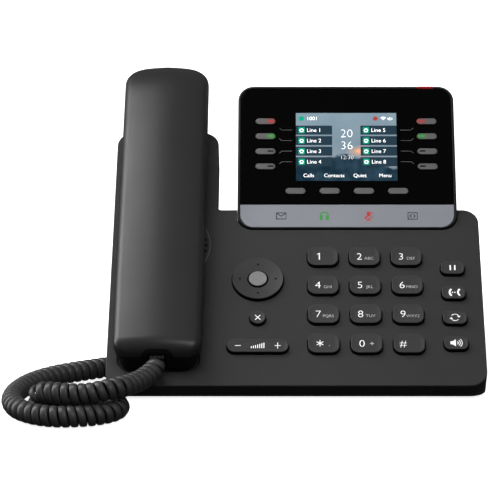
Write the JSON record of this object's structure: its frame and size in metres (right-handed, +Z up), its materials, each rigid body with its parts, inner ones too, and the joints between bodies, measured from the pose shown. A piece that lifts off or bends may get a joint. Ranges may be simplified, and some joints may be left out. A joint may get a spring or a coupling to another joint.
{
  "type": "desk ip phone",
  "caption": "Desk IP phone: sloped dial-pad body on a rear stand, tilting colour-screen unit with line keys, corded handset in a side cradle and a curly cord.",
  "frame": {"origin": "on the desk, under the middle of the phone without its cord", "axes": "+X to the right for the user, +Y to the back, +Z up"},
  "size_m": [0.2596, 0.2179, 0.156],
  "materials": {
    "body_shell": "charcoal, fine moulded grain",
    "rear_plastic": "near-black, fine moulded grain",
    "foot_rubber": "matte",
    "circuit_board": "solder mask",
    "keymat_rubber": "matte silicone",
    "speaker_frame": "paper cone and moulded frame",
    "jack_shield": "tinned sheet",
    "jack_plastic": "moulded",
    "steel": "plain",
    "cord_jacket": "satin black vinyl",
    "clear_plug": "clear moulded plug",
    "handset_shell": "charcoal, fine moulded grain",
    "key_plastic": "charcoal with pale printed legends",
    "silver_plastic": "satin silver paint",
    "head_shell": "charcoal, fine moulded grain",
    "black_lens": "polished black lens",
    "lcd_screen": "lit colour display",
    "lamp_red": "translucent red",
    "pill_plastic": "satin grey"
  },
  "bodies": {
    "base": {"front_shell": "body_shell", "rear_shell": "rear_plastic", "desk_stand": "rear_plastic", "front_foot": "foot_rubber", "stand_foot": "foot_rubber", "main_board": "circuit_board", "keymat": "keymat_rubber", "loudspeaker": "speaker_frame", "base_microphone": "steel", "network_jack": "jack_shield", "handset_jack": "jack_plastic", "hinge_pin_left": "steel", "hinge_pin_right": "steel", "handset_cord": "cord_jacket", "base_plug": "clear_plug"},
    "handset": {"handset_outer_shell": "handset_shell", "handset_inner_shell": "handset_shell", "handset_plug": "clear_plug", "receiver": "speaker_frame", "handset_microphone": "steel"},
    "hook_plunger": {"hook_plunger": "key_plastic"},
    "head": {"head_bezel": "head_shell", "head_rear_cover": "head_shell", "screen_lens": "black_lens", "lcd_module": "lcd_screen", "message_lamp": "lamp_red", "head_board": "circuit_board"},
    "volume_rocker": {"volume_rocker": "key_plastic"},
    "nav_ring": {"nav_ring": "key_plastic"},
    "function_bar": {"function_bar": "silver_plastic"},
    "ok_key": {"ok_key": "silver_plastic"},
    "cancel_key": {"cancel_key": "key_plastic"},
    "hold_key": {"hold_key": "key_plastic"},
    "transfer_key": {"transfer_key": "key_plastic"},
    "redial_key": {"redial_key": "key_plastic"},
    "speaker_key": {"speaker_key": "key_plastic"},
    "key_1": {"key_1": "key_plastic"},
    "key_2": {"key_2": "key_plastic"},
    "key_3": {"key_3": "key_plastic"},
    "key_4": {"key_4": "key_plastic"},
    "key_5": {"key_5": "key_plastic"},
    "key_6": {"key_6": "key_plastic"},
    "key_7": {"key_7": "key_plastic"},
    "key_8": {"key_8": "key_plastic"},
    "key_9": {"key_9": "key_plastic"},
    "key_star": {"key_star": "key_plastic"},
    "key_0": {"key_0": "key_plastic"},
    "key_hash": {"key_hash": "key_plastic"},
    "soft_key_1": {"soft_key_1": "pill_plastic"},
    "soft_key_2": {"soft_key_2": "pill_plastic"},
    "soft_key_3": {"soft_key_3": "pill_plastic"},
    "soft_key_4": {"soft_key_4": "pill_plastic"},
    "line_key_left_1": {"line_key_left_1": "pill_plastic"},
    "line_key_left_2": {"line_key_left_2": "pill_plastic"},
    "line_key_left_3": {"line_key_left_3": "pill_plastic"},
    "line_key_left_4": {"line_key_left_4": "pill_plastic"},
    "line_key_right_1": {"line_key_right_1": "pill_plastic"},
    "line_key_right_2": {"line_key_right_2": "pill_plastic"},
    "line_key_right_3": {"line_key_right_3": "pill_plastic"},
    "line_key_right_4": {"line_key_right_4": "pill_plastic"}
  },
  "joints": [
    {"name": "handset_lift", "type": "slide", "parent": "base", "child": "handset", "axis": [0, -0.6157, 0.788], "range_m": [0, 0.06]},
    {"name": "hook_travel", "type": "slide", "parent": "base", "child": "hook_plunger", "axis": [0, -0.6157, 0.788], "range_m": [0, 0.003]},
    {"name": "head_tilt", "type": "hinge", "parent": "base", "child": "head", "pos_m": [0.0289, 0.00709, 0.0721], "axis": [1, 0, 0], "range_deg": [-10, 8]},
    {"name": "volume_rocker_tilt", "type": "hinge", "parent": "base", "child": "volume_rocker", "pos_m": [-0.02095, -0.06203, 0.02413], "axis": [0, 0.788, 0.6157], "range_deg": [-2.5, 2.5], "stiffness_Nm_per_rad": 0.5},
    {"name": "nav_ring_tilt", "type": "hinge", "parent": "base", "child": "nav_ring", "pos_m": [-0.0212, -0.02594, 0.05232], "axis": [1, 0, 0], "range_deg": [-2.5, 2.5], "stiffness_Nm_per_rad": 0.5},
    {"name": "function_bar_press", "type": "slide", "parent": "head", "child": "function_bar", "axis": [0, 0.7826, -0.6225], "range_m": [0, 0.0005], "stiffness_N_per_m": 400, "springref_m": -0.0015},
    {"name": "ok_key_press", "type": "slide", "parent": "base", "child": "ok_key", "axis": [0, 0.6157, -0.788], "range_m": [0, 0.001], "stiffness_N_per_m": 400, "springref_m": -0.0015},
    {"name": "cancel_key_press", "type": "slide", "parent": "base", "child": "cancel_key", "axis": [0, 0.6157, -0.788], "range_m": [0, 0.001], "stiffness_N_per_m": 400, "springref_m": -0.0015},
    {"name": "hold_key_press", "type": "slide", "parent": "base", "child": "hold_key", "axis": [0, 0.6157, -0.788], "range_m": [0, 0.001], "stiffness_N_per_m": 400, "springref_m": -0.0015},
    {"name": "transfer_key_press", "type": "slide", "parent": "base", "child": "transfer_key", "axis": [0, 0.6157, -0.788], "range_m": [0, 0.001], "stiffness_N_per_m": 400, "springref_m": -0.0015},
    {"name": "redial_key_press", "type": "slide", "parent": "base", "child": "redial_key", "axis": [0, 0.6157, -0.788], "range_m": [0, 0.001], "stiffness_N_per_m": 400, "springref_m": -0.0015},
    {"name": "speaker_key_press", "type": "slide", "parent": "base", "child": "speaker_key", "axis": [0, 0.6157, -0.788], "range_m": [0, 0.001], "stiffness_N_per_m": 400, "springref_m": -0.0015},
    {"name": "key_1_press", "type": "slide", "parent": "base", "child": "key_1", "axis": [0, 0.6157, -0.788], "range_m": [0, 0.001], "stiffness_N_per_m": 400, "springref_m": -0.0015},
    {"name": "key_2_press", "type": "slide", "parent": "base", "child": "key_2", "axis": [0, 0.6157, -0.788], "range_m": [0, 0.001], "stiffness_N_per_m": 400, "springref_m": -0.0015},
    {"name": "key_3_press", "type": "slide", "parent": "base", "child": "key_3", "axis": [0, 0.6157, -0.788], "range_m": [0, 0.001], "stiffness_N_per_m": 400, "springref_m": -0.0015},
    {"name": "key_4_press", "type": "slide", "parent": "base", "child": "key_4", "axis": [0, 0.6157, -0.788], "range_m": [0, 0.001], "stiffness_N_per_m": 400, "springref_m": -0.0015},
    {"name": "key_5_press", "type": "slide", "parent": "base", "child": "key_5", "axis": [0, 0.6157, -0.788], "range_m": [0, 0.001], "stiffness_N_per_m": 400, "springref_m": -0.0015},
    {"name": "key_6_press", "type": "slide", "parent": "base", "child": "key_6", "axis": [0, 0.6157, -0.788], "range_m": [0, 0.001], "stiffness_N_per_m": 400, "springref_m": -0.0015},
    {"name": "key_7_press", "type": "slide", "parent": "base", "child": "key_7", "axis": [0, 0.6157, -0.788], "range_m": [0, 0.001], "stiffness_N_per_m": 400, "springref_m": -0.0015},
    {"name": "key_8_press", "type": "slide", "parent": "base", "child": "key_8", "axis": [0, 0.6157, -0.788], "range_m": [0, 0.001], "stiffness_N_per_m": 400, "springref_m": -0.0015},
    {"name": "key_9_press", "type": "slide", "parent": "base", "child": "key_9", "axis": [0, 0.6157, -0.788], "range_m": [0, 0.001], "stiffness_N_per_m": 400, "springref_m": -0.0015},
    {"name": "key_star_press", "type": "slide", "parent": "base", "child": "key_star", "axis": [0, 0.6157, -0.788], "range_m": [0, 0.001], "stiffness_N_per_m": 400, "springref_m": -0.0015},
    {"name": "key_0_press", "type": "slide", "parent": "base", "child": "key_0", "axis": [0, 0.6157, -0.788], "range_m": [0, 0.001], "stiffness_N_per_m": 400, "springref_m": -0.0015},
    {"name": "key_hash_press", "type": "slide", "parent": "base", "child": "key_hash", "axis": [0, 0.6157, -0.788], "range_m": [0, 0.001], "stiffness_N_per_m": 400, "springref_m": -0.0015},
    {"name": "soft_key_1_press", "type": "slide", "parent": "head", "child": "soft_key_1", "axis": [0, 0.7826, -0.6225], "range_m": [0, 0.0006], "stiffness_N_per_m": 400, "springref_m": -0.0015},
    {"name": "soft_key_2_press", "type": "slide", "parent": "head", "child": "soft_key_2", "axis": [0, 0.7826, -0.6225], "range_m": [0, 0.0006], "stiffness_N_per_m": 400, "springref_m": -0.0015},
    {"name": "soft_key_3_press", "type": "slide", "parent": "head", "child": "soft_key_3", "axis": [0, 0.7826, -0.6225], "range_m": [0, 0.0006], "stiffness_N_per_m": 400, "springref_m": -0.0015},
    {"name": "soft_key_4_press", "type": "slide", "parent": "head", "child": "soft_key_4", "axis": [0, 0.7826, -0.6225], "range_m": [0, 0.0006], "stiffness_N_per_m": 400, "springref_m": -0.0015},
    {"name": "line_key_left_1_press", "type": "slide", "parent": "head", "child": "line_key_left_1", "axis": [0, 0.7826, -0.6225], "range_m": [0, 0.0006], "stiffness_N_per_m": 400, "springref_m": -0.0015},
    {"name": "line_key_left_2_press", "type": "slide", "parent": "head", "child": "line_key_left_2", "axis": [0, 0.7826, -0.6225], "range_m": [0, 0.0006], "stiffness_N_per_m": 400, "springref_m": -0.0015},
    {"name": "line_key_left_3_press", "type": "slide", "parent": "head", "child": "line_key_left_3", "axis": [0, 0.7826, -0.6225], "range_m": [0, 0.0006], "stiffness_N_per_m": 400, "springref_m": -0.0015},
    {"name": "line_key_left_4_press", "type": "slide", "parent": "head", "child": "line_key_left_4", "axis": [0, 0.7826, -0.6225], "range_m": [0, 0.0006], "stiffness_N_per_m": 400, "springref_m": -0.0015},
    {"name": "line_key_right_1_press", "type": "slide", "parent": "head", "child": "line_key_right_1", "axis": [0, 0.7826, -0.6225], "range_m": [0, 0.0006], "stiffness_N_per_m": 400, "springref_m": -0.0015},
    {"name": "line_key_right_2_press", "type": "slide", "parent": "head", "child": "line_key_right_2", "axis": [0, 0.7826, -0.6225], "range_m": [0, 0.0006], "stiffness_N_per_m": 400, "springref_m": -0.0015},
    {"name": "line_key_right_3_press", "type": "slide", "parent": "head", "child": "line_key_right_3", "axis": [0, 0.7826, -0.6225], "range_m": [0, 0.0006], "stiffness_N_per_m": 400, "springref_m": -0.0015},
    {"name": "line_key_right_4_press", "type": "slide", "parent": "head", "child": "line_key_right_4", "axis": [0, 0.7826, -0.6225], "range_m": [0, 0.0006], "stiffness_N_per_m": 400, "springref_m": -0.0015}
  ],
  "couplings": [
    {"joint": "hook_travel", "follows": "handset_lift", "ratio": 0.05}
  ]
}
